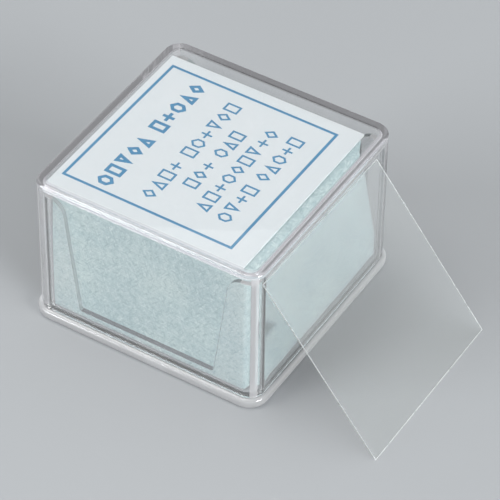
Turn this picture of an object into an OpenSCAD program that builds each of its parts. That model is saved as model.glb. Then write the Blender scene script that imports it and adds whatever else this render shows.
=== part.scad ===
// Clear plastic box of one hundred 24 mm square microscope cover glasses.
// The origin is the middle of the underside. +X is the side that the loose glass leans on,
// -Y is the side with the front finger notch, +Z is up. All sizes are in millimetres.

/* [Lid] */
// Outer width and depth of the square lid
lid_w = 29.5; // [29.2:0.1:31]
// Height of the closed box, from the bench to the top of the lid
box_h = 20; // [19.9:0.1:22]
// Thickness of the lid's four walls
lid_wall = 0.7; // [0.6:0.05:0.7]
// Thickness of the lid's top
lid_top_t = 0.7; // [0.6:0.05:1.1]
// Radius of the lid's upright corners
lid_corner_r = 2; // [1.8:0.1:2.2]
// Rounding round the lid's top
lid_edge_r = 0.35; // [0.2:0.05:0.6]
// Fillet inside the lid, between its top and its walls
lid_fillet_r = 0.35; // [0.3:0.05:0.7]

/* [Tray] */
// How far the tray's foot flange stands out past the lid
flange_over = 0.45; // [0.3:0.05:0.8]
// Height of the foot flange
flange_h = 1.3; // [1.2:0.1:1.6]
// Rounding of the flange's edges
flange_edge_r = 0.45; // [0.2:0.05:0.5]
// Outer width and depth of the tray's walls
tray_w = 27.8; // [27.7:0.05:27.9]
// Thickness of the tray's walls
tray_wall = 0.6; // [0.5:0.05:0.6]
// Thickness of the tray's floor
floor_t = 1.3; // [1:0.1:1.5]
// Height of the top of the tray's walls
tray_top = 18.3; // [17:0.1:18.3]

/* [Finger notches] */
// Half width of each notch at its foot
notch_foot = 8.9; // [6:0.1:9.5]
// Half width of each notch just under its flared mouth
notch_mouth = 10.6; // [7:0.1:11]
// Height of the notch's foot
notch_z = 2.85; // [2:0.05:5]
// Radius of the flare at each side of the mouth
notch_flare_r = 2.2; // [1:0.1:2.4]
// Radius in the notch's two lower corners
notch_foot_r = 0.3; // [0.2:0.1:1.2]

/* [Cover glasses] */
// Side of the square cover glass
glass_w = 24; // [22:0.5:24]
// Thickness of one cover glass
glass_t = 0.16; // [0.13:0.01:0.16]
// Gap left between one glass in the stack and the next
glass_gap = 0.01; // [0.005:0.005:0.01]
// How far a glass in the stack lies off the middle, at most
glass_wander = 0.07; // [0:0.01:0.08]

/* [Leaning glass] */
// Lean of the loose glass, measured from the bench
lean = 51.8; // [50:0.1:54]
// Turn of the loose glass about the vertical
lean_yaw = 0.3; // [0:0.1:1]
// Distance of the middle of the loose glass in front of the box's middle
lean_back = -1.92; // [-4:0.01:4]
// Gap between the loose glass and the lid
lean_gap = 0.06; // [0.03:0.01:0.2]

/* [Tissue and label] */
// Thickness of the tissue
tissue_t = 0.1; // [0.05:0.01:0.12]
// Gap between the tissue's flaps and the tray's walls
tissue_gap = 0.24; // [0.2:0.01:0.6]
// Radius of the tissue round the upright corner between its two flaps
tissue_corner_r = 0.8; // [0.8:0.1:2]
// How far the tissue's hanging edges stay above the tray's floor
tissue_hem = 0.1; // [0.1:0.1:2]
// Place of the +X flap's back edge, at its top and at its foot
tissue_back = [9.7, 13]; // [6:0.1:13]
// Place of the top sheet's back edge
tissue_top_back = 12.2; // [9:0.1:12.5]
// Width of the slanted cut at the top sheet's back corner
tissue_cut = 1.2; // [0.5:0.1:3]
// Place of the front flap's left edge, at its top and where it is widest
tissue_left = [-12.4, -13]; // [-13:0.1:-8]
// Height at which the flaps reach their full width
tissue_wide_z = 4.5; // [2:0.1:10]
// Width of the label card
label_w = 25.7; // [20:0.1:25.7]
// Depth of the label card
label_d = 26; // [20:0.1:26]
// How far the label card lies to the right of the box's middle
label_x = -1.1; // [-1.1:0.01:1.1]
// How far the label card lies behind the box's middle
label_y = 0.04; // [-0.5:0.01:0.5]
// Thickness of the label card
label_t = 0.2; // [0.1:0.01:0.2]

/* [Hidden] */
$fn = 64;
GLASSES = 100;           // glasses in a full box, the leaning one included
SINGLES = 10;            // glasses 1 to 10 are nodes of their own
GROUP = 10;              // glasses in each of the other nodes
WANDER_TURN = 137.5;     // each glass lies this many degrees round from the last
OVER = 1;                // how far a cut runs past the face it opens
SEAT_GAP = 0.05;         // between the lid's rim and the flange
SHEET_GAP = 0.05;        // between the sheets that lie on each other

flange_w = lid_w + 2 * flange_over;
lid_inner_w = lid_w - 2 * lid_wall;
lid_z = flange_h + SEAT_GAP;
lid_h = box_h - lid_z;
lid_inner_h = lid_h - lid_top_t;
lid_inner_r = lid_corner_r - lid_wall;
tray_corner_r = lid_inner_r - (lid_inner_w - tray_w) / 2;
tray_inner_w = tray_w - 2 * tray_wall;
tray_inner_r = 1;
pitch = glass_t + glass_gap;
stack_top = floor_t + (GLASSES - 1) * pitch;
tissue_z = stack_top + SHEET_GAP;
label_z = tissue_z + tissue_t + SHEET_GAP;
tissue_side = tray_inner_w / 2 - tissue_gap;
tissue_foot = floor_t + tissue_hem;

// The leaning glass turns about a line just above its foot, so that it ends flat on the bench.
pivot_b = glass_t / (1 + cos(lean));
lean_reach = glass_w * cos(lean);
lean_side = (lid_w / 2 - lid_corner_r + lean_back) * tan(lean_yaw);
lean_x = lid_w / 2 + lean_gap + lean_side + lean_reach;

function two_digits(n) = n < 10 ? str("0", n) : str(n);
function glass_name(n) = str("cover_glass_", two_digits(n));
function group_name(n) = str("cover_glasses_", n, "_", n + GROUP - 1);
function arc(centre, r, from, to, steps = 12) =
    [for (i = [0:steps]) let (a = from + (to - from) * i / steps) centre + r * [cos(a), sin(a)]];
function mirrored(points) = [for (i = [len(points) - 1:-1:0]) [-points[i].x, points[i].y]];

// A square with four round corners
module round_square(w, r) {
    square([w, w - 2 * r], center = true);
    square([w - 2 * r, w], center = true);
    for (x = [-1, 1], y = [-1, 1])
        translate([x, y] * (w / 2 - r)) circle(r);
}

// A square block with round upright corners, and with edges rounded at the top and bottom
module soft_block(w, h, corner, top_r, bottom_r) {
    module profile() {
        square([corner - max(top_r, bottom_r), h]);
        translate([0, bottom_r]) square([corner, h - top_r - bottom_r]);
        translate([corner - top_r, h - top_r]) circle(top_r);
        if (bottom_r > 0) translate([corner - bottom_r, bottom_r]) circle(bottom_r);
    }
    flat = w - 2 * corner;
    translate([-flat / 2, -flat / 2, 0]) cube([flat, flat, h]);
    for (turn = [0:90:270]) rotate(turn) {
        translate([flat / 2, flat / 2, 0]) rotate_extrude() profile();
        translate([flat / 2, flat / 2, 0]) rotate([90, 0, 0]) linear_extrude(flat) profile();
    }
}

// Half of a finger notch's outline, from its foot to the end of its flare
function notch_side() =
    let (slope = atan((notch_mouth - notch_foot) / (tray_top - notch_flare_r - notch_z)),
         flare_z = tray_top - notch_flare_r,
         flare_x = notch_mouth + notch_flare_r / cos(slope),
         foot_z = notch_z + notch_foot_r,
         foot_x = notch_foot + notch_foot_r * tan(slope) - notch_foot_r / cos(slope))
    concat(
        arc([foot_x, foot_z], notch_foot_r, -90, -slope),
        arc([flare_x, flare_z], notch_flare_r, 180 - slope, 90),
        [[flare_x, tray_top + OVER]]
    );

module notch() {
    side = notch_side();
    polygon(concat(side, mirrored(side)));
}

module base_tray() color([0.86, 0.9, 0.92, 0.35]) difference() {
    union() {
        soft_block(flange_w, flange_h, lid_corner_r + flange_over, flange_edge_r, flange_edge_r);
        translate([0, 0, flange_h / 2])
            linear_extrude(tray_top - flange_h / 2) round_square(tray_w, tray_corner_r);
    }
    translate([0, 0, floor_t]) linear_extrude(tray_top) round_square(tray_inner_w, tray_inner_r);
    translate([0, tray_w, 0]) rotate([90, 0, 0]) linear_extrude(2 * tray_w) notch();
}

module lid() color([0.88, 0.92, 0.94, 0.3]) translate([0, 0, lid_z]) difference() {
    soft_block(lid_w, lid_h, lid_corner_r, lid_edge_r, 0);
    translate([0, 0, -OVER])
        soft_block(lid_inner_w, lid_inner_h + OVER, lid_inner_r, lid_fillet_r, 0);
}

module label_card() color([0.88, 0.91, 0.93])
    translate([label_x, label_y, label_z + label_t / 2])
        cube([label_w, label_d, label_t], center = true);

// A top sheet with one flap down the front, carried on round the corner down the +X side
module tissue_cover() color([0.75, 0.84, 0.84]) {
    top = tissue_z + tissue_t;
    turn = tissue_side - tissue_corner_r;
    translate([0, 0, tissue_z]) linear_extrude(tissue_t) {
        polygon([
            [tissue_left[0], -tissue_side], [turn, -tissue_side], [tissue_side, -turn],
            [tissue_side, tissue_back[0]], [tissue_side - tissue_cut, tissue_top_back],
            [tissue_left[0], tissue_top_back]
        ]);
        translate([turn, -turn]) circle(tissue_corner_r);
    }
    translate([0, tissue_t - tissue_side, 0]) rotate([90, 0, 0]) linear_extrude(tissue_t)
        polygon([
            [tissue_left[0], top], [tissue_left[1], tissue_wide_z], [tissue_left[1], tissue_foot],
            [turn, tissue_foot], [turn, top]
        ]);
    translate([tissue_side - tissue_t, 0, 0]) rotate([90, 0, 90]) linear_extrude(tissue_t)
        polygon([
            [-turn, top], [-turn, tissue_foot], [tissue_back[1], tissue_foot],
            [tissue_back[1], tissue_wide_z], [tissue_back[0], top]
        ]);
    translate([turn, -turn, tissue_foot]) rotate(-90) rotate_extrude(angle = 90)
        translate([tissue_corner_r - tissue_t, 0]) square([tissue_t, top - tissue_foot]);
}

module glass_plate() cube([glass_w, glass_w, glass_t]);

// Glass n of the stack: number 2 is the top one and number 100 lies on the tray's floor
module stacked_glass(n) color([0.8, 0.9, 0.88, 0.5])
    translate([
        glass_wander * cos(n * WANDER_TURN) - glass_w / 2,
        glass_wander * sin(n * WANDER_TURN) - glass_w / 2,
        floor_t + glass_gap + (GLASSES - n) * pitch
    ]) glass_plate();

module cover_glasses(first) for (n = [first:first + GROUP - 1]) stacked_glass(n);

// The loose glass stands on its lower edge and leans back on the lid's +X wall
module leaning_cover_glass() color([0.9, 0.95, 0.95, 0.3])
    translate([lean_x, lean_back, 0]) rotate([0, 0, -lean_yaw]) rotate([0, lean - 90, 0])
        translate([0, -glass_w / 2, 0]) cube([glass_t, glass_w, glass_w]);

base_tray();
lid();
label_card();
tissue_cover();
leaning_cover_glass();
for (n = [2:SINGLES]) stacked_glass(n);
for (n = [SINGLES + 1:GROUP:GLASSES]) cover_glasses(n);
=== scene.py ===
"""Looks of a clear box of square microscope cover glasses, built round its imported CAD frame."""
import math

import bmesh
import bpy
from mathutils import Matrix, Vector, noise


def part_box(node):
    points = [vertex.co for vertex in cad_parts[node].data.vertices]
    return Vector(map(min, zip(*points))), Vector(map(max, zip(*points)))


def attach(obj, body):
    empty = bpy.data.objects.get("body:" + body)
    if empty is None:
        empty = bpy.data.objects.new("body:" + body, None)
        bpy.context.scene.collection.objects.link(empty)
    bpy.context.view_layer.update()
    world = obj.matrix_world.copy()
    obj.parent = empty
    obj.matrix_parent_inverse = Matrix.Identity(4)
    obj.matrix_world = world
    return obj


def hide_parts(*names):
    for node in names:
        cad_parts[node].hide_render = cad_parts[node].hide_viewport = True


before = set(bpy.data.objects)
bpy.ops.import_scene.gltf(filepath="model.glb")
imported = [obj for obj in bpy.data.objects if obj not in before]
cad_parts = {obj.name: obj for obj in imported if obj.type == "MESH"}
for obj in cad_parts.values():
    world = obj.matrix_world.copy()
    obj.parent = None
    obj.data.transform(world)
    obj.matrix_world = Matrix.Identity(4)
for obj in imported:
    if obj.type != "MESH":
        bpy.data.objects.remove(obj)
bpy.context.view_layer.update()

MM = 0.001
TINY = 0.01 * MM


# ---------------------------------------------------------------- measures

def size_of(node):
    low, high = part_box(node)
    return high - low


def middle_of(node):
    low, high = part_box(node)
    return (low + high) / 2


# from the frame
LID_LOW, LID_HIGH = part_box("lid")
TRAY_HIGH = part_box("base_tray")[1]
TISSUE_LOW, TISSUE_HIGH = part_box("tissue_cover")
TOP_GLASS_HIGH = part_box("cover_glass_02")[1].z
STACK = [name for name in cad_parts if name.startswith("cover_glass")]
LID_HALF = LID_HIGH.x
FLANGE_HALF = TRAY_HIGH.x

# what the frame's boxes don't give, as in the part's source
LID_WALL = 0.7 * MM
LID_TOP = 0.7 * MM
LID_CORNER = 2.0 * MM
LID_EDGE = 0.35 * MM
LID_FILLET = 0.35 * MM
FLANGE_H = 1.3 * MM
FLANGE_EDGE = 0.45 * MM
TRAY_HALF = 13.9 * MM
TRAY_WALL = 0.6 * MM
TRAY_CORNER = 1.15 * MM
TRAY_INNER_CORNER = 1.0 * MM
FLOOR_TOP = 1.3 * MM
NOTCH_FOOT = 8.9 * MM
NOTCH_MOUTH = 10.6 * MM
NOTCH_LOW = 2.85 * MM
NOTCH_FLARE = 2.2 * MM
NOTCH_FILLET = 0.3 * MM
GLASS = 24.0 * MM
GLASS_T = 0.16 * MM
LEAN = math.radians(51.8)
LEAN_YAW = math.radians(0.3)


# ---------------------------------------------------------------- camera

# fitted to the leaning glass and to the outlines of the lid and its foot
VIEW_AZIMUTH = math.radians(31.21)
VIEW_ELEVATION = math.radians(43.46)
VIEW_ROLL = math.radians(0.91)
VIEW_DISTANCE = 0.3539
VIEW_TARGET = Vector((0.95, 6.41, 0.75)) * MM
SENSOR = 36.0
LENS = 218.4


def add_camera():
    back = Vector((
        math.sin(VIEW_AZIMUTH) * math.cos(VIEW_ELEVATION),
        -math.cos(VIEW_AZIMUTH) * math.cos(VIEW_ELEVATION),
        math.sin(VIEW_ELEVATION),
    ))
    right = Vector((0, 0, 1)).cross(back).normalized()
    up = back.cross(right)
    c, s = math.cos(VIEW_ROLL), math.sin(VIEW_ROLL)
    right, up = c * right + s * up, c * up - s * right
    data = bpy.data.cameras.new("camera")
    data.sensor_width = SENSOR
    data.lens = LENS
    data.clip_start = 0.01
    data.clip_end = 20
    camera = bpy.data.objects.new("camera", data)
    turn = Matrix((right, up, back)).transposed().to_4x4()
    camera.matrix_world = Matrix.Translation(VIEW_TARGET + back * VIEW_DISTANCE) @ turn
    bpy.context.scene.collection.objects.link(camera)
    bpy.context.scene.camera = camera


# ---------------------------------------------------------------- node materials

# a colour mix's sockets: its two inputs and its output
MIX_A, MIX_B, MIX_RESULT = 6, 7, 2


class Shader:
    """A node material, with short calls for the nodes that the materials here use."""

    def __init__(self, name):
        self.material = bpy.data.materials.new(name)
        self.material.use_nodes = True
        self.tree = self.material.node_tree
        self.tree.nodes.clear()
        self.output = self.tree.nodes.new("ShaderNodeOutputMaterial")
        self.place = self.node("ShaderNodeTexCoord").outputs["Object"]

    def node(self, kind, **settings):
        made = self.tree.nodes.new(kind)
        for key, value in settings.items():
            setattr(made, key, value)
        return made

    def feed(self, socket, value):
        """Links value to the socket if it is another node's output, or else sets it."""
        if hasattr(value, "links"):
            self.tree.links.new(value, socket)
        elif isinstance(value, tuple) and len(value) == 3 and socket.type == "RGBA":
            socket.default_value = (*value, 1)
        else:
            socket.default_value = value

    def stretched(self, scale):
        """The object's coordinates, scaled along its axes."""
        made = self.node("ShaderNodeMapping")
        self.feed(made.inputs["Vector"], self.place)
        made.inputs["Scale"].default_value = scale
        return made.outputs["Vector"]

    def along_sheet(self, sheet, length, turn):
        """Coordinates that run along a sheet's own surface, turned, and stretched to length."""
        flat = self.node("ShaderNodeUVMap", uv_map=sheet).outputs["UV"]
        made = self.node("ShaderNodeMapping", vector_type="TEXTURE")
        self.feed(made.inputs["Vector"], flat)
        made.inputs["Rotation"].default_value = (0, 0, turn)
        made.inputs["Scale"].default_value = (1, length, 1)
        return made.outputs["Vector"]

    def noise(self, scale, detail, rough=0.5, bend=0.0, where=None):
        made = self.node("ShaderNodeTexNoise")
        self.feed(made.inputs["Vector"], where or self.place)
        made.inputs["Scale"].default_value = scale
        made.inputs["Detail"].default_value = detail
        made.inputs["Roughness"].default_value = rough
        made.inputs["Distortion"].default_value = bend
        return made.outputs["Fac"]

    def ramp(self, value, *stops):
        """Maps value through (place, grey or colour) stops."""
        made = self.node("ShaderNodeValToRGB")
        self.feed(made.inputs["Fac"], value)
        elements = made.color_ramp.elements
        while len(elements) < len(stops):
            elements.new(0.5)
        for element, (place, colour) in zip(elements, stops):
            element.position = place
            colour = colour if isinstance(colour, tuple) else (colour,) * 3
            element.color = (*colour, 1)
        return made.outputs["Color"]

    def math(self, kind, a, b):
        made = self.node("ShaderNodeMath", operation=kind)
        self.feed(made.inputs[0], a)
        self.feed(made.inputs[1], b)
        return made.outputs[0]

    def mix(self, share, a, b):
        made = self.node("ShaderNodeMix", data_type="RGBA")
        self.feed(made.inputs[0], share)
        self.feed(made.inputs[MIX_A], a)
        self.feed(made.inputs[MIX_B], b)
        return made.outputs[MIX_RESULT]

    def bump(self, height, distance, strength):
        made = self.node("ShaderNodeBump")
        self.feed(made.inputs["Height"], height)
        made.inputs["Distance"].default_value = distance
        made.inputs["Strength"].default_value = strength
        return made.outputs["Normal"]

    def principled(self, **values):
        made = self.node("ShaderNodeBsdfPrincipled")
        for key, value in values.items():
            self.feed(made.inputs[key.replace("_", " ")], value)
        return made.outputs["BSDF"]

    def clear_to_lamps(self, shader, tint):
        """Lets lamps shine straight through, so that what is inside a clear piece is lit."""
        path = self.node("ShaderNodeLightPath").outputs["Is Shadow Ray"]
        see_through = self.node("ShaderNodeBsdfTransparent")
        self.feed(see_through.inputs["Color"], tint)
        made = self.node("ShaderNodeMixShader")
        self.feed(made.inputs[0], path)
        self.feed(made.inputs[1], shader)
        self.feed(made.inputs[2], see_through.outputs[0])
        return made.outputs[0]

    def done(self, shader):
        self.feed(self.output.inputs["Surface"], shader)
        return self.material


PLASTIC_IOR = 1.58
GLASS_IOR = 1.52
CLOUDY = 1.03


def clear_plastic(name, clear, tint, rough, shadow, ripple=0.25):
    """Moulded polystyrene. The share that isn't clear scatters light, as its moulded edges do.

    Its roughness wanders in the range rough, and its tint is CLOUDY times as pale in places.
    shadow is the tint of the light that it lets through, and ripple how wavy it is.
    """
    s = Shader(name)
    haze = s.noise(170, detail=3.0)
    rough = s.ramp(haze, (0.35, rough[0]), (0.75, rough[1]))
    waves = s.bump(s.noise(110, detail=1.0), 0.02 * MM, ripple)
    cloud = s.noise(240, detail=3.0, rough=0.6)
    colour = s.ramp(cloud, (0.3, tint), (0.75, tuple(min(1.0, CLOUDY * t) for t in tint)))
    shader = s.principled(
        Base_Color=colour, Transmission_Weight=clear, IOR=PLASTIC_IOR, Roughness=rough, Normal=waves
    )
    return s.done(s.clear_to_lamps(shader, shadow))


def thin_glass():
    s = Shader("cover_glass_face")
    smear = s.noise(140, detail=3.0, rough=0.6, bend=1.0)
    rough = s.ramp(smear, (0.45, 0.0), (0.8, 0.06))
    tint = s.ramp(smear, (0.0, (0.965, 0.99, 0.985)), (1.0, (0.985, 0.998, 0.995)))
    shader = s.principled(
        Base_Color=tint, Transmission_Weight=0.97, IOR=GLASS_IOR, Roughness=rough
    )
    return s.done(s.clear_to_lamps(shader, (0.985, 0.99, 0.988)))


def cut_edge():
    s = Shader("cover_glass_cut_edge")
    chips = s.noise(900, detail=2.0, rough=0.6)
    colour = s.ramp(chips, (0.3, (0.93, 0.98, 0.975)), (0.7, (1.0, 1.0, 1.0)))
    shader = s.principled(
        Base_Color=colour, Transmission_Weight=0.67, IOR=GLASS_IOR,
        Roughness=s.ramp(chips, (0.2, 0.24), (0.8, 0.34)),
        Normal=s.bump(chips, 0.01 * MM, 0.3),
    )
    return s.done(s.clear_to_lamps(shader, (0.97, 0.98, 0.98)))


def stacked_glass():
    """A pile of thin glasses: dull blue-grey, with flat streaks on its cut sides."""
    s = Shader("stacked_cover_glass")
    flattened = s.stretched((0.12, 0.12, 22))
    streaks = s.noise(260, detail=3.0, rough=0.6, where=flattened)
    cloud = s.noise(120, detail=2.0)
    colour = s.ramp(
        streaks,
        (0.25, (0.02, 0.035, 0.045)), (0.5, (0.06, 0.09, 0.105)), (0.75, (0.24, 0.31, 0.33)),
    )
    colour = s.mix(s.ramp(cloud, (0.3, 0.0), (0.8, 0.25)), colour, (0.20, 0.25, 0.28))
    shader = s.principled(
        Base_Color=colour, Roughness=s.ramp(streaks, (0.2, 0.06), (0.8, 0.22)), IOR=GLASS_IOR,
        Coat_Weight=0.3, Coat_Roughness=0.04,
    )
    return s.done(shader)


FIBRE_TURNS = (0.35, 1.4, 2.45)
FIBRE_LENGTH = 5.0


def tissue_paper():
    """Thin felted paper: short fibres that cross each other, some pale, with painted shade in the
    gaps between them.
    """
    s = Shader("tissue_paper")
    cloud = s.noise(130, detail=3.0, rough=0.6)
    layers = [
        s.noise(
            5000, detail=2.0, rough=0.6, bend=0.5,
            where=s.along_sheet("paper", FIBRE_LENGTH, turn),
        )
        for turn in FIBRE_TURNS
    ]
    felt = s.math("MAXIMUM", s.math("MAXIMUM", layers[0], layers[1]), layers[2])
    gaps_with_painted_shade = s.math("MINIMUM", s.math("MINIMUM", layers[0], layers[1]), layers[2])
    base = s.ramp(
        cloud, (0.3, (0.43, 0.57, 0.59)), (0.5, (0.48, 0.62, 0.63)), (0.7, (0.55, 0.68, 0.67))
    )
    base = s.mix(s.ramp(felt, (0.56, 0.0), (0.70, 0.7)), base, (0.74, 0.85, 0.83))
    # painted shade: the gaps between the fibres are darkened
    base = s.mix(s.ramp(gaps_with_painted_shade, (0.32, 0.7), (0.43, 0.0)), base, (0.28, 0.41, 0.44))
    # painted shade: the side flap's pocket is painted dark, as one layer of paper is darker than
    # two, with the glass behind it
    thin = s.node("ShaderNodeAttribute", attribute_name="pocket_painted_shade").outputs["Fac"]
    base = s.mix(s.ramp(thin, (0.0, 0.0), (1.0, 0.95)), base, (0.08, 0.12, 0.13))
    height = s.math("ADD", felt, gaps_with_painted_shade)
    shader = s.principled(
        Base_Color=base, Roughness=0.92, IOR=1.4, Sheen_Weight=0.2, Sheen_Roughness=0.6,
        Normal=s.bump(height, 0.03 * MM, 0.8),
    )
    return s.done(shader)


def card_paper():
    s = Shader("card_paper")
    pulp = s.noise(1500, detail=4.0, rough=0.65)
    cloud = s.noise(150, detail=2.0)
    colour = s.ramp(pulp, (0.3, (0.735, 0.78, 0.80)), (0.7, (0.775, 0.815, 0.835)))
    colour = s.mix(s.ramp(cloud, (0.35, 0.0), (0.75, 0.25)), colour, (0.79, 0.81, 0.82))
    shader = s.principled(
        Base_Color=colour, Roughness=s.ramp(pulp, (0.3, 0.5), (0.7, 0.65)), IOR=1.45,
        Normal=s.bump(pulp, 0.008 * MM, 0.5),
    )
    return s.done(shader)


def blue_ink():
    s = Shader("blue_ink")
    speck = s.noise(3200, detail=3.0, rough=0.7)
    colour = s.ramp(speck, (0.25, (0.006, 0.17, 0.36)), (0.75, (0.015, 0.23, 0.43)))
    shader = s.principled(
        Base_Color=colour, Roughness=s.ramp(speck, (0.3, 0.4), (0.7, 0.6)), IOR=1.48
    )
    return s.done(shader)


# ---------------------------------------------------------------- mesh helpers

CORNER_STEPS = 14
SHARP = math.radians(35)


def add_mesh(name, points, faces, materials, slots=None):
    data = bpy.data.meshes.new(name)
    data.from_pydata([tuple(p) for p in points], [], faces)
    data.update()
    shape = bmesh.new()
    shape.from_mesh(data)
    bmesh.ops.recalc_face_normals(shape, faces=shape.faces)
    shape.to_mesh(data)
    shape.free()
    for material in materials:
        data.materials.append(material)
    if slots:
        data.polygons.foreach_set("material_index", slots)
    made = bpy.data.objects.new(name, data)
    bpy.context.scene.collection.objects.link(made)
    return made


def round_square(half, corner, z):
    """One loop of a square with round corners, at height z."""
    corner = max(corner, TINY)
    loop = []
    for k in range(4):
        middle = Vector(((half - corner) * (1, -1, -1, 1)[k], (half - corner) * (1, 1, -1, -1)[k]))
        for i in range(CORNER_STEPS + 1):
            a = math.radians(90 * (k + i / CORNER_STEPS))
            loop.append(Vector((
                middle.x + corner * math.cos(a), middle.y + corner * math.sin(a), z
            )))
    return loop


def turned(half, corner, z, radius, start, end, steps):
    """Loops round a rounded edge: an arc of this radius about (half, z), from start to end.

    The angles are in degrees, and corner goes with half, at the arc's centre.
    """
    loops = []
    for i in range(steps + 1):
        a = math.radians(start + (end - start) * i / steps)
        out = radius * math.cos(a)
        loops.append(round_square(half + out, corner + out, z + radius * math.sin(a)))
    return loops


def loft(name, loops, materials):
    """A closed skin over loops with the same number of points, with flat ends."""
    n = len(loops[0])
    points = [p for loop in loops for p in loop]
    faces = [list(range(n))]
    for k in range(len(loops) - 1):
        for i in range(n):
            j = (i + 1) % n
            faces.append([k * n + i, k * n + j, (k + 1) * n + j, (k + 1) * n + i])
    faces.append([(len(loops) - 1) * n + i for i in range(n)])
    return add_mesh(name, points, faces, materials)


def smooth(piece):
    piece.data.shade_smooth()
    piece.data.set_sharp_from_angle(angle=SHARP)
    weigh = piece.modifiers.new("even_normals", "WEIGHTED_NORMAL")
    weigh.keep_sharp = True
    weigh.weight = 100


def bake_modifiers(piece):
    graph = bpy.context.evaluated_depsgraph_get()
    made = bpy.data.meshes.new_from_object(piece.evaluated_get(graph))
    piece.modifiers.clear()
    piece.data = made


# ---------------------------------------------------------------- box

# radii of the lid's lower rim, the tray's upper lip, and the inner foot of the tray's walls
LID_RIM = 0.12 * MM
TRAY_LIP = 0.1 * MM
TRAY_FILLET = 0.15 * MM
# An upright corner's faces lie within CORNER_DEPTH of both outer faces, and a notch's sides have
# at least NOTCH_TILT of their normal along X.
CORNER_DEPTH = 0.95 * MM
NOTCH_TILT = 0.3
# a face's place in its piece's list of materials
CLEAR, EDGE, CORNER, CUT, CUT_PAINTED_SHADE = 0, 1, 2, 2, 3


def lid_skin(materials):
    inner = LID_HALF - LID_WALL
    inner_corner = LID_CORNER - LID_WALL
    ceiling = LID_HIGH.z - LID_TOP
    ring = LID_WALL + LID_FILLET
    rim, fillet = LID_RIM, LID_FILLET
    loops = [round_square(LID_HALF - ring, LID_CORNER - ring, LID_HIGH.z)]
    loops += turned(
        LID_HALF - LID_EDGE, LID_CORNER - LID_EDGE, LID_HIGH.z - LID_EDGE, LID_EDGE, 90, 0, steps=9
    )
    loops += turned(LID_HALF - rim, LID_CORNER - rim, LID_LOW.z + rim, rim, 0, -90, steps=4)
    loops += turned(inner + rim, inner_corner + rim, LID_LOW.z + rim, rim, 270, 180, steps=4)
    loops += turned(inner - fillet, inner_corner - fillet, ceiling - fillet, fillet, 0, 90, steps=8)
    return loft("lid_shell", loops, materials)


def build_lid(clear, edge, corner):
    """The lid, with the edge's look round its top and the corner's on its upright corners."""
    lid = lid_skin([clear, edge, corner])
    top_edge = LID_HIGH.z - LID_TOP - LID_FILLET
    upright = LID_HALF - CORNER_DEPTH
    for face in lid.data.polygons:
        on_edge = face.center.z > top_edge and len(face.vertices) == 4
        on_corner = min(abs(face.center.x), abs(face.center.y)) > upright
        face.material_index = EDGE if on_edge else CORNER if on_corner else CLEAR
    smooth(lid)
    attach(lid, "lid")
    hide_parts("lid")


def notch_outline():
    """Outline of a finger notch, seen from the front."""
    top = TRAY_HIGH.z
    slope = math.atan((NOTCH_MOUTH - NOTCH_FOOT) / (top - NOTCH_FLARE - NOTCH_LOW))
    flare_x = NOTCH_MOUTH + NOTCH_FLARE / math.cos(slope)
    foot_x = NOTCH_FOOT + NOTCH_FILLET * math.tan(slope) - NOTCH_FILLET / math.cos(slope)

    def arc(x, z, r, start, end, steps):
        angles = [start + (end - start) * i / steps for i in range(steps + 1)]
        return [(x + r * math.cos(a), z + r * math.sin(a)) for a in angles]

    side = arc(foot_x, NOTCH_LOW + NOTCH_FILLET, NOTCH_FILLET, -math.pi / 2, -slope, 5)
    side += arc(flare_x, top - NOTCH_FLARE, NOTCH_FLARE, math.pi - slope, math.pi / 2, 16)
    side.append((flare_x, top + MM))
    return side + [(-x, z) for x, z in reversed(side)]


def tray_skin(materials):
    foot_corner = LID_CORNER + FLANGE_HALF - LID_HALF
    inner = TRAY_HALF - TRAY_WALL
    edge_half, edge_corner = FLANGE_HALF - FLANGE_EDGE, foot_corner - FLANGE_EDGE
    lip, fillet = TRAY_LIP, TRAY_FILLET
    loops = turned(edge_half, edge_corner, FLANGE_EDGE, FLANGE_EDGE, -90, 0, steps=8)
    loops += turned(edge_half, edge_corner, FLANGE_H - FLANGE_EDGE, FLANGE_EDGE, 0, 90, steps=8)
    loops.append(round_square(TRAY_HALF, TRAY_CORNER, FLANGE_H))
    loops += turned(TRAY_HALF - lip, TRAY_CORNER - lip, TRAY_HIGH.z - lip, lip, 0, 90, steps=4)
    loops += turned(inner + lip, TRAY_INNER_CORNER + lip, TRAY_HIGH.z - lip, lip, 90, 180, steps=4)
    loops += turned(
        inner - fillet, TRAY_INNER_CORNER - fillet, FLOOR_TOP + fillet, fillet, 0, -90, steps=6
    )
    return loft("tray_shell", loops, materials)


def cut_notches(tray):
    """Cuts the same notch through the front and back walls."""
    outline = notch_outline()
    reach = 20 * MM
    n = len(outline)
    points = [(x, y, z) for y in (-reach, reach) for x, z in outline]
    faces = [list(range(n)), list(range(2 * n - 1, n - 1, -1))]
    faces += [[i, (i + 1) % n, n + (i + 1) % n, n + i] for i in range(n)]
    cutter = add_mesh("notch_cutter", points, faces, [])
    cut = tray.modifiers.new("notches", "BOOLEAN")
    cut.object = cutter
    cut.solver = "EXACT"
    bake_modifiers(tray)
    bpy.data.objects.remove(cutter)


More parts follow.
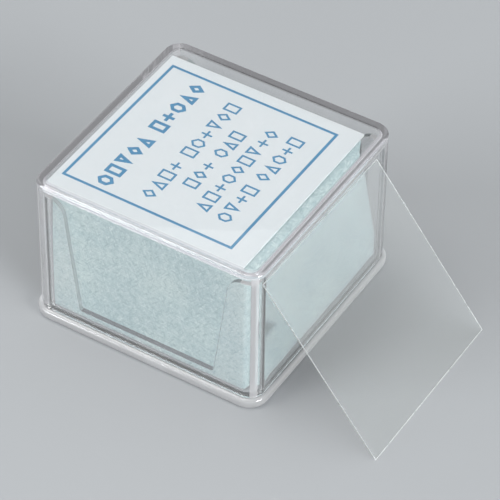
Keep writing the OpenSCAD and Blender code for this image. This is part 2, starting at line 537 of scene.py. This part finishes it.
def build_tray(clear, edge, cut_face, cut_painted_shade):
    """The tray, with looks of their own for its flange and lip and each side of its notches; the
    notches' far sides are painted darker, as painted shade.
    """
    tray = tray_skin([clear, edge, cut_face, cut_painted_shade])
    cut_notches(tray)
    flange_top = FLANGE_H + TINY
    within = TRAY_HALF - TRAY_WALL - TRAY_INNER_CORNER
    for face in tray.data.polygons:
        on_edge = face.center.z < flange_top or face.center.z > TRAY_HIGH.z - TRAY_LIP
        in_notch = abs(face.normal.x) > NOTCH_TILT and abs(face.center.x) < within
        # the notches' far sides get a darker copy of the cut faces' look: painted shade
        notch_side = CUT_PAINTED_SHADE if face.center.x > 0 else CUT
        face.material_index = EDGE if on_edge else notch_side if in_notch else CLEAR
    soften = tray.modifiers.new("edges", "BEVEL")
    soften.width = 0.1 * MM
    soften.segments = 2
    soften.limit_method = "ANGLE"
    soften.angle_limit = math.radians(50)
    smooth(tray)
    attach(tray, "tray")
    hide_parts("base_tray")


# ---------------------------------------------------------------- label

# each mark's outline in a square of side 1, anticlockwise
SHAPES = {
    "square": [(-0.5, -0.5), (0.5, -0.5), (0.5, 0.5), (-0.5, 0.5)],
    "diamond": [(0, -0.5), (0.5, 0), (0, 0.5), (-0.5, 0)],
    "up": [(-0.5, -0.5), (0.5, -0.5), (0, 0.5)],
    "down": [(-0.5, 0.5), (0, -0.5), (0.5, 0.5)],
    "hexagon": [(0, -0.5), (0.5, -0.22), (0.5, 0.22), (0, 0.5), (-0.5, 0.22), (-0.5, -0.22)],
}
# The print's places and sizes are in millimetres, as one reads it on the card.
FRAME_MIDDLE = (0.29, 0.84)
FRAME_SIDE = 22.4
FRAME_LINE = 0.35
MARK_GAP = 0.42
# Each row of marks: middle across and up from the frame's middle, width, height, line, marks.
ROWS = [
    (-0.16, 6.5, 19.95, 2.2, 0.42,
     "hexagon square down diamond up - square plus hexagon up diamond"),
    (-0.06, 1.25, 18.35, 1.9, 0.26,
     "diamond up square plus - square hexagon plus down diamond square"),
    (0.04, -1.78, 10.65, 1.85, 0.26,
     "square diamond plus - hexagon up square"),
    (-0.01, -4.83, 15.45, 1.85, 0.26,
     "up square plus hexagon diamond square down plus diamond"),
    (0.04, -7.83, 15.95, 1.9, 0.26,
     "hexagon down plus square - diamond up hexagon plus square"),
]
# a dash is a gap, and is shorter than a mark and its gap by this share
DASH_SHORTER = 0.45
PRINT_TURN = math.radians(-0.5)
INK_T = 0.006 * MM
CARD_CELLS = 12


def outlined(points, line):
    """A band of one line's width inside a convex outline, whose points go anticlockwise."""
    n = len(points)
    points = [Vector(p) for p in points]
    inner = []
    for i, p in enumerate(points):
        before, after = (p - points[i - 1]).normalized(), (points[(i + 1) % n] - p).normalized()
        a, b = Vector((-before.y, before.x)), Vector((-after.y, after.x))
        inner.append(p + line * (a + b) / (1 + a.dot(b)))
    return points + inner, [[i, (i + 1) % n, n + (i + 1) % n, n + i] for i in range(n)]


def mark(kind, w, h, line):
    """One plain geometric mark. None of them is a letter or a figure."""
    if kind == "plus":
        a, c = w / 2, line / 2
        corners = [
            (-c, -a), (c, -a), (c, -c), (a, -c), (a, c), (c, c),
            (c, a), (-c, a), (-c, c), (-a, c), (-a, -c), (-c, -c),
        ]
        return [Vector(p) for p in corners], [list(range(len(corners)))]
    return outlined([(x * w, y * h) for x, y in SHAPES[kind]], line)


def label_marks():
    """Every mark on the card: where its middle is, and its points and faces."""
    frame_x, frame_y = FRAME_MIDDLE
    square = [(x * FRAME_SIDE, y * FRAME_SIDE) for x, y in SHAPES["square"]]
    marks = [((frame_x, frame_y), outlined(square, FRAME_LINE))]
    for across, up, width, height, line, kinds in ROWS:
        kinds = kinds.split()
        each = (width + MARK_GAP) / (len(kinds) - DASH_SHORTER * kinds.count("-"))
        wide = each - MARK_GAP
        x = frame_x + across - width / 2
        for kind in kinds:
            if kind == "-":
                x += (1 - DASH_SHORTER) * each
                continue
            marks.append(((x + wide / 2, frame_y + up), mark(kind, wide, height, line)))
            x += each
    return marks


def rim_of(faces):
    """The edges that only one of the faces has, each in that face's direction."""
    edges = dict.fromkeys(edge for face in faces for edge in zip(face, face[1:] + face[:1]))
    return [(a, b) for a, b in edges if (b, a) not in edges]


def add_print(middle, top, material):
    """The marks as a thin layer of ink on a card with this middle and this top."""
    turn = Matrix.Rotation(PRINT_TURN, 2)
    points, faces = [], []
    for (across, up), (shape, shape_faces) in label_marks():
        first = len(points)
        n = len(shape)
        for z in (top, top + INK_T):
            for px, py in shape:
                # the print reads along +Y, with its top towards -X
                a, b = turn @ Vector((across + px, up + py))
                points.append((middle.x - b * MM, middle.y + a * MM, z))
        faces += [[first + n + i for i in face] for face in shape_faces]
        faces += [[first + i for i in reversed(face)] for face in shape_faces]
        faces += [
            [first + a, first + b, first + n + b, first + n + a] for a, b in rim_of(shape_faces)
        ]
    return add_mesh("label_print", points, faces, [material])


def add_card(middle, extent, material):
    """A flat card, each of its two faces in cells, with a rim between them."""
    cells = CARD_CELLS
    points, faces = [], []
    for side in (-1, 1):
        for j in range(cells + 1):
            for i in range(cells + 1):
                points.append(Vector((
                    middle.x + extent.x * (i / cells - 0.5),
                    middle.y + extent.y * (j / cells - 0.5),
                    middle.z + side * extent.z / 2,
                )))
    n = cells + 1
    for side in (0, 1):
        for j in range(cells):
            for i in range(cells):
                a = side * n * n + j * n + i
                faces.append([a, a + 1, a + n + 1, a + n])
    rim = [(i, 0) for i in range(cells)] + [(cells, j) for j in range(cells)]
    rim += [(cells - i, cells) for i in range(cells)] + [(0, cells - j) for j in range(cells)]
    for (i0, j0), (i1, j1) in zip(rim, rim[1:] + rim[:1]):
        a, b = j0 * n + i0, j1 * n + i1
        faces.append([a, b, n * n + b, n * n + a])
    return add_mesh("label_card_sheet", points, faces, [material])


def build_label(card_material, ink_material):
    middle = middle_of("label_card")
    extent = size_of("label_card")
    card = add_card(middle, extent, card_material)
    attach(card, "label")
    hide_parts("label_card")
    ink = add_print(middle, middle.z + extent.z / 2, ink_material)
    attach(ink, "label")


# ---------------------------------------------------------------- tissue

# The sheet lies on the stack, and hangs in front and on the +X side, between glass and tray.
# Both flaps hang from the edge of the flat top by a round fold, and end at the hem.
FLAP_FACE = TISSUE_HIGH.x - 0.07 * MM
FOLD = 0.35 * MM
FLAT_Z = TOP_GLASS_HIGH + 0.09 * MM
HEM = TISSUE_LOW.z + 0.03 * MM
FLAT_END = FLAP_FACE - FOLD
FOLD_LENGTH = math.pi / 2 * FOLD
DROP = FOLD_LENGTH + FLAT_Z - FOLD - HEM

# The flaps widen from SLANT_Z down to WIDE_Z: the front one at its left, the other at its back.
LEFT_TOP, LEFT_LOW = -12.4 * MM, -13.0 * MM
BACK_TOP, BACK_LOW = 9.7 * MM, 13.0 * MM
SLANT_Z, WIDE_Z = 17.0 * MM, 4.5 * MM
# The flat top ends at BACK_SHEET, but its corner is cut back to BACK_TOP over this width.
BACK_SHEET = 12.2 * MM
CUT_WIDTH = 1.2 * MM
# The front flap's end goes round the upright corner, in behind the other flap.
SHEET_CORNER = 0.8 * MM
TUCK_LENGTH = 2.6 * MM
TUCK_IN = 0.45 * MM

# The paper's unevenness: its crumples to a metre and their place in the noise, and how deep they
# are on the top and the front. The other flap also hangs slack, in slanted waves, with crumples
# SIDE_STRETCH as dense. On both flaps it fades out towards the near corner, and the waves
# towards the hem as well.
COARSE_CRUMPLES, COARSE_PLACE = 130, Vector((3, 1, 7))
FINE_CRUMPLES, FINE_PLACE = 430, Vector((9, 4, 2))
FINE_SHARE, FINE_SHARE_OF_SIDE = 0.5, 0.35
TOP_CRUMPLE = 0.022 * MM
FRONT_CRUMPLE = 0.07 * MM
SIDE_SLACK = 0.2 * MM
SIDE_STRETCH = 0.7
WAVE_DEPTH = 0.13 * MM
WAVE_ACROSS, WAVE_UP, WAVE_LENGTH = 0.91, 0.42, 1.3 * MM
FADE = 2 * MM
WAVE_FADE = 4 * MM
# how far the top droops for each unit of way past the edge of the glass
OVERHANG_DROOP = 0.1
# The pocket's three sides: the outward direction in y and z, and how far out, in millimetres.
POCKET_SIDES = ((-1.0, 0.0, 11.5), (0.12, -1.0, -8.9), (0.72, 0.69, -0.75))
POCKET_DEPTH = 0.3 * MM
POCKET_SOFTNESS = 0.13 * MM

# The sheet's grid: its mesh size, and how many rows a flap takes to reach its own outline and
# its own unevenness.
CELL = 0.28 * MM
OUTLINE_ROWS = 4
CRUMPLE_ROWS = 6
TOP_COLS = round((FLAT_END - LEFT_TOP) / CELL)
TOP_ROWS = round((FLAT_END + BACK_SHEET) / CELL)
FLAP_ROWS = round(DROP / CELL)
TUCK_COLS = round(TUCK_LENGTH / CELL)


def ramp_up(way, length):
    """Grows from 0 to 1 over length, and then stays 1."""
    return min(1.0, way / length)


def fall(t):
    """How far out and how high the paper is, at t of its length past the start of the fold."""
    if t < FOLD_LENGTH:
        return FOLD * math.sin(t / FOLD), FLAT_Z - FOLD * (1 - math.cos(t / FOLD))
    return FOLD, FLAT_Z - FOLD - (t - FOLD_LENGTH)


def widening(z):
    """The share of a flap's widening that it has reached at height z."""
    return min(1.0, max(0.0, (SLANT_Z - z) / (SLANT_Z - WIDE_Z)))


def crumple(p, fine):
    """The paper's unevenness at p, about -1 to 1, with this share of finer crumples added."""
    coarse = noise.noise(p * COARSE_CRUMPLES + COARSE_PLACE)
    return coarse + fine * noise.noise(p * FINE_CRUMPLES + FINE_PLACE)


def back_of_top(x):
    past = max(0.0, x - (FLAP_FACE - CUT_WIDTH)) / CUT_WIDTH
    return BACK_SHEET + (BACK_TOP - BACK_SHEET) * past


def pocket(y, z):
    """How far into the small three-cornered pocket a point of the side flap lies, 0 to 1."""
    inside = 1.0
    for side_y, side_z, at in POCKET_SIDES:
        off = side_y * y + side_z * z - at * MM
        inside *= 1 / (1 + math.exp(off / POCKET_SOFTNESS))
    return inside


def top_point(i, j):
    x = LEFT_TOP + (FLAT_END - LEFT_TOP) * i / TOP_COLS
    y = -FLAT_END + (back_of_top(x) + FLAT_END) * j / TOP_ROWS
    over = max(0.0, max(abs(x), abs(y)) - GLASS / 2)
    p = Vector((x, y, FLAT_Z - OVERHANG_DROOP * over))
    return p + Vector((0, 0, TOP_CRUMPLE * crumple(p, FINE_SHARE)))


def front_point(i, k):
    out, z = fall(DROP * k / FLAP_ROWS)
    start = LEFT_TOP + (FLAT_END - LEFT_TOP) * i / TOP_COLS
    left = LEFT_TOP + (LEFT_LOW - LEFT_TOP) * widening(z)
    end = FLAP_FACE - SHEET_CORNER
    x = start + (left + (end - left) * i / TOP_COLS - start) * ramp_up(k, OUTLINE_ROWS)
    p = Vector((x, -FLAT_END - out, z))
    fade = ramp_up(max(0.0, end - p.x), FADE)
    push = FRONT_CRUMPLE * crumple(p, FINE_SHARE) * ramp_up(k, CRUMPLE_ROWS) * fade
    return p + Vector((0, push, 0))


def right_point(j, k):
    out, z = fall(DROP * k / FLAP_ROWS)
    start = -FLAT_END + (back_of_top(FLAT_END) + FLAT_END) * j / TOP_ROWS
    back = BACK_TOP + (BACK_LOW - BACK_TOP) * widening(z)
    first = -(FLAP_FACE - SHEET_CORNER)
    y = start + (first + (back - first) * j / TOP_ROWS - start) * ramp_up(k, OUTLINE_ROWS)
    p = Vector((FLAT_END + out, y, z))
    past = y - first
    slack = SIDE_SLACK * (1 + crumple(p * SIDE_STRETCH, FINE_SHARE_OF_SIDE)) * ramp_up(past, FADE)
    wave = 1 + math.sin((WAVE_ACROSS * y + WAVE_UP * z) / WAVE_LENGTH)
    slack += WAVE_DEPTH * wave * ramp_up(past, WAVE_FADE) * ramp_up(z - HEM, WAVE_FADE)
    slack += POCKET_DEPTH * pocket(y, z)
    return p - Vector((slack * ramp_up(k, CRUMPLE_ROWS), 0, 0))


def tuck_point(m, k):
    z = fall(DROP * k / FLAP_ROWS)[1]
    length = TUCK_LENGTH * m / TUCK_COLS
    bend = min(length / SHEET_CORNER, math.pi / 2)
    in_by = TUCK_IN * ramp_up(length, SHEET_CORNER)
    straight = max(0.0, length - SHEET_CORNER * math.pi / 2)
    p = Vector((
        FLAP_FACE - SHEET_CORNER + (SHEET_CORNER - in_by) * math.sin(bend),
        -(FLAP_FACE - SHEET_CORNER) - SHEET_CORNER * math.cos(bend) + straight,
        z,
    ))
    return Vector((FLAT_END, -FLAT_END, z)).lerp(p, ramp_up(k, OUTLINE_ROWS))


# Each panel of the sheet: its points, its columns and rows of cells, and the first of its rows.
PANELS = {
    "top": (top_point, TOP_COLS, TOP_ROWS, 0),
    "front": (front_point, TOP_COLS, FLAP_ROWS, 0),
    "right": (right_point, TOP_ROWS, FLAP_ROWS, 0),
    "tuck": (tuck_point, TUCK_COLS, FLAP_ROWS, 1),
}


def shared(kind, a, b):
    """The panel and place that a point is kept under: panels share the points where they meet."""
    if kind == "front" and b == 0:
        return "top", a, 0
    if kind == "right" and b == 0:
        return "top", TOP_COLS, a
    if kind == "tuck" and a == 0:
        return "front", TOP_COLS, b
    return kind, a, b


def on_paper(kind, a, b):
    """Where a point of the sheet lies when the paper is flat."""
    x = LEFT_TOP + (FLAT_END - LEFT_TOP) * a / TOP_COLS
    if kind == "top":
        return x, -FLAT_END + (back_of_top(x) + FLAT_END) * b / TOP_ROWS
    if kind == "front":
        return x, -FLAT_END - DROP * b / FLAP_ROWS
    if kind == "tuck":
        return FLAT_END + TUCK_LENGTH * a / TUCK_COLS, -FLAT_END - DROP * b / FLAP_ROWS
    start = -FLAT_END + (back_of_top(FLAT_END) + FLAT_END) * a / TOP_ROWS
    return FLAT_END + DROP * b / FLAP_ROWS, start


def add_sheet(material):
    """The sheet's mesh, with its flat paper as a UV map and its pocket's painted shade as an
    attribute.
    """
    points, faces, known = [], [], {}

    def vertex(*corner):
        place = shared(*corner)
        if place not in known:
            known[place] = len(points)
            points.append(PANELS[place[0]][0](*place[1:]))
        return known[place]

    for kind, (_, across, down, first) in PANELS.items():
        for b in range(first, down):
            for a in range(across):
                corners = ((a, b), (a + 1, b), (a + 1, b + 1), (a, b + 1))
                faces.append([vertex(kind, *corner) for corner in corners])

    sheet = add_mesh("tissue_sheet", points, faces, [material])
    paper = [on_paper(*place) for place in known]
    pocket_shade_layer = sheet.data.attributes.new("pocket_painted_shade", "FLOAT", "POINT")
    # the pocket's share, kept for the painted shade in the paper's colour there
    for (kind, _, b), i in known.items():
        on_flap = kind == "right" and b >= OUTLINE_ROWS
        pocket_shade_layer.data[i].value = pocket(points[i].y, points[i].z) if on_flap else 0.0
    flat = sheet.data.uv_layers.new(name="paper")
    for loop in sheet.data.loops:
        flat.data[loop.index].uv = paper[loop.vertex_index]
    return sheet


def build_tissue(material):
    sheet = add_sheet(material)
    sheet.data.shade_smooth()
    thick = sheet.modifiers.new("paper", "SOLIDIFY")
    thick.thickness = 0.05 * MM
    thick.offset = 0
    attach(sheet, "tissue")
    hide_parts("tissue_cover")


# ---------------------------------------------------------------- glasses

GROUND = 0.02 * MM
GROUND_BORDER = 0.03 * MM
FACE_SLOT, EDGE_SLOT = 0, 1


def build_loose_glass(face, edge):
    """The loose glass, which leans back on the lid, with its edges ground."""
    middle = middle_of("leaning_cover_glass")
    along = Vector((math.sin(LEAN_YAW), math.cos(LEAN_YAW), 0))
    back = Vector((-along.y, along.x, 0))
    up = back * math.cos(LEAN) + Vector((0, 0, math.sin(LEAN)))
    out = along.cross(up)
    rim = GLASS_T / 2 - GROUND
    loops = [(-GLASS_T / 2, GROUND + GROUND_BORDER), (-GLASS_T / 2, GROUND), (-rim, 0.0)]
    loops += [(-depth, inset) for depth, inset in reversed(loops)]
    points, faces, slots = [], [[3, 2, 1, 0]], [FACE_SLOT]
    for depth, inset in loops:
        half = GLASS / 2 - inset
        for a, b in ((-1, -1), (1, -1), (1, 1), (-1, 1)):
            points.append(middle + along * (a * half) + up * (b * half) + out * depth)
    last = 4 * (len(loops) - 1)
    for k in range(0, last, 4):
        for i in range(4):
            j = (i + 1) % 4
            faces.append([k + i, k + j, k + 4 + j, k + 4 + i])
            slots.append(EDGE_SLOT)
    faces.append([last, last + 1, last + 2, last + 3])
    slots.append(FACE_SLOT)
    glass = add_mesh("loose_glass_sheet", points, faces, [face, edge], slots)
    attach(glass, "loose_glass")
    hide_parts("leaning_cover_glass")


def dress_stack(single, pile):
    """The stacked glasses keep their CAD meshes: the top ones clear, the packs of ten as a pile."""
    for name in STACK:
        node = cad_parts[name]
        node.data.materials.clear()
        node.data.materials.append(pile if name.startswith("cover_glasses") else single)


# ---------------------------------------------------------------- stage

FLOOR_REACH = 1.3
FLOOR_RINGS = (0.0, 0.15, 0.6, FLOOR_REACH)
BEND = 0.7
BEND_STEPS = 12
WALL_TOP = 1.9
BOWL_TURNS = 64

COOL = (0.97, 0.985, 1.0)
WARM = (1.0, 0.99, 0.975)
# Each lamp: place, width and height, watts and colour. It points at the origin.
LAMPS = {
    "overhead": ((-0.35, -0.1, 1.1), (0.7, 0.7), 6.8, WARM),
    "front_fill": ((-0.85, -0.95, 0.42), (0.8, 0.6), 16.5, COOL),
    "right_fill": ((1.15, -0.2, 0.42), (0.7, 0.6), 19.6, COOL),
    "back_panel": ((0.95, 0.78, 0.26), (1.2, 0.4), 0.7, COOL),
}
SKY = (0.93, 0.97, 1.0, 1)
SKY_STRENGTH = 0.6


def studio_floor():
    s = Shader("studio_floor")
    cloud = s.noise(6, detail=2.0)
    colour = s.ramp(cloud, (0.3, (0.325, 0.335, 0.345)), (0.7, (0.345, 0.355, 0.365)))
    shader = s.principled(
        Base_Color=colour, Roughness=s.ramp(cloud, (0.3, 0.55), (0.7, 0.65)), IOR=1.4
    )
    return s.done(shader)


def build_stage():
    """A wide floor that curves up into a wall all the way round."""
    profile = [(r, 0.0) for r in FLOOR_RINGS]
    for i in range(1, BEND_STEPS + 1):
        a = math.radians(90 * i / BEND_STEPS)
        profile.append((FLOOR_REACH + BEND * math.sin(a), BEND * (1 - math.cos(a))))
    profile.append((FLOOR_REACH + BEND, WALL_TOP))
    turns = BOWL_TURNS
    points, faces = [Vector((0, 0, 0))], []
    for r, z in profile[1:]:
        for i in range(turns):
            a = 2 * math.pi * i / turns
            points.append(Vector((r * math.cos(a), r * math.sin(a), z)))
    for i in range(turns):
        faces.append([0, 1 + i, 1 + (i + 1) % turns])
    for k in range(len(profile) - 2):
        for i in range(turns):
            a, b = 1 + k * turns + i, 1 + k * turns + (i + 1) % turns
            faces.append([a, a + turns, b + turns, b])
    data = bpy.data.meshes.new("studio_bowl")
    data.from_pydata([tuple(p) for p in points], [], faces)
    data.shade_smooth()
    data.materials.append(studio_floor())
    bowl = bpy.data.objects.new("studio_bowl", data)
    bpy.context.scene.collection.objects.link(bowl)


def add_lamp(name, place, size, power, colour):
    data = bpy.data.lights.new(name, "AREA")
    data.shape = "RECTANGLE"
    data.size, data.size_y = size
    data.energy = power
    data.color = colour
    lamp = bpy.data.objects.new(name, data)
    lamp.location = place
    lamp.rotation_mode = "QUATERNION"
    lamp.rotation_quaternion = (-Vector(place)).to_track_quat("-Z", "Y")
    bpy.context.scene.collection.objects.link(lamp)


def light_scene():
    world = bpy.data.worlds.new("studio")
    world.use_nodes = True
    sky = world.node_tree.nodes["Background"]
    sky.inputs["Color"].default_value = SKY
    sky.inputs["Strength"].default_value = SKY_STRENGTH
    bpy.context.scene.world = world
    for name, lamp in LAMPS.items():
        add_lamp(name, *lamp)


def set_rendering():
    """Plain colours, and enough bounces for light to cross the lid, the tray and the glasses."""
    scene = bpy.context.scene
    scene.view_settings.view_transform = "Standard"
    scene.cycles.use_denoising = True
    scene.cycles.max_bounces = 40
    scene.cycles.transmission_bounces = 40
    scene.cycles.transparent_max_bounces = 48
    scene.cycles.glossy_bounces = 6
    scene.cycles.diffuse_bounces = 4
    scene.cycles.caustics_refractive = False
    scene.cycles.caustics_reflective = False


# ---------------------------------------------------------------- put together

# The tints of light through a plain wall and through an edge, and how rough plain walls and the
# notches' cut faces are.
WALL_LIGHT = (0.98, 0.983, 0.985)
EDGE_LIGHT = (0.97, 0.975, 0.98)
POLISHED = (0.0, 0.02)
CUT_ROUGH = (0.05, 0.1)

add_camera()
light_scene()
set_rendering()
build_stage()
build_lid(
    clear_plastic("lid_plastic", 0.97, (0.975, 0.985, 0.99), POLISHED, WALL_LIGHT),
    clear_plastic("lid_plastic_edge", 0.78, (0.72, 0.71, 0.735), (0.02, 0.06), EDGE_LIGHT, 0.1),
    clear_plastic("lid_plastic_corner", 0.55, (0.71, 0.70, 0.71), (0.03, 0.08), EDGE_LIGHT, 0.1),
)
build_tray(
    clear_plastic("tray_plastic", 0.965, (0.97, 0.985, 0.99), POLISHED, WALL_LIGHT),
    clear_plastic(
        "tray_plastic_edge", 0.66, (0.97, 0.97, 0.975), (0.0, 0.03), (0.6, 0.61, 0.63), 0.04
    ),
    # the notches' cut faces: the near side tinted to the tissue's tone, a painted view of the
    # tissue through it, and the far side darker, as painted shade
    clear_plastic("tray_plastic_cut", 0.55, (0.53, 0.61, 0.61), CUT_ROUGH, EDGE_LIGHT),
    clear_plastic("tray_plastic_cut_painted_shade", 0.5, (0.16, 0.2, 0.21), CUT_ROUGH, EDGE_LIGHT),
)
build_label(card_paper(), blue_ink())
build_tissue(tissue_paper())
glass_face, glass_edge = thin_glass(), cut_edge()
build_loose_glass(glass_face, glass_edge)
dress_stack(glass_face, stacked_glass())

bpy.context.view_layer.update()
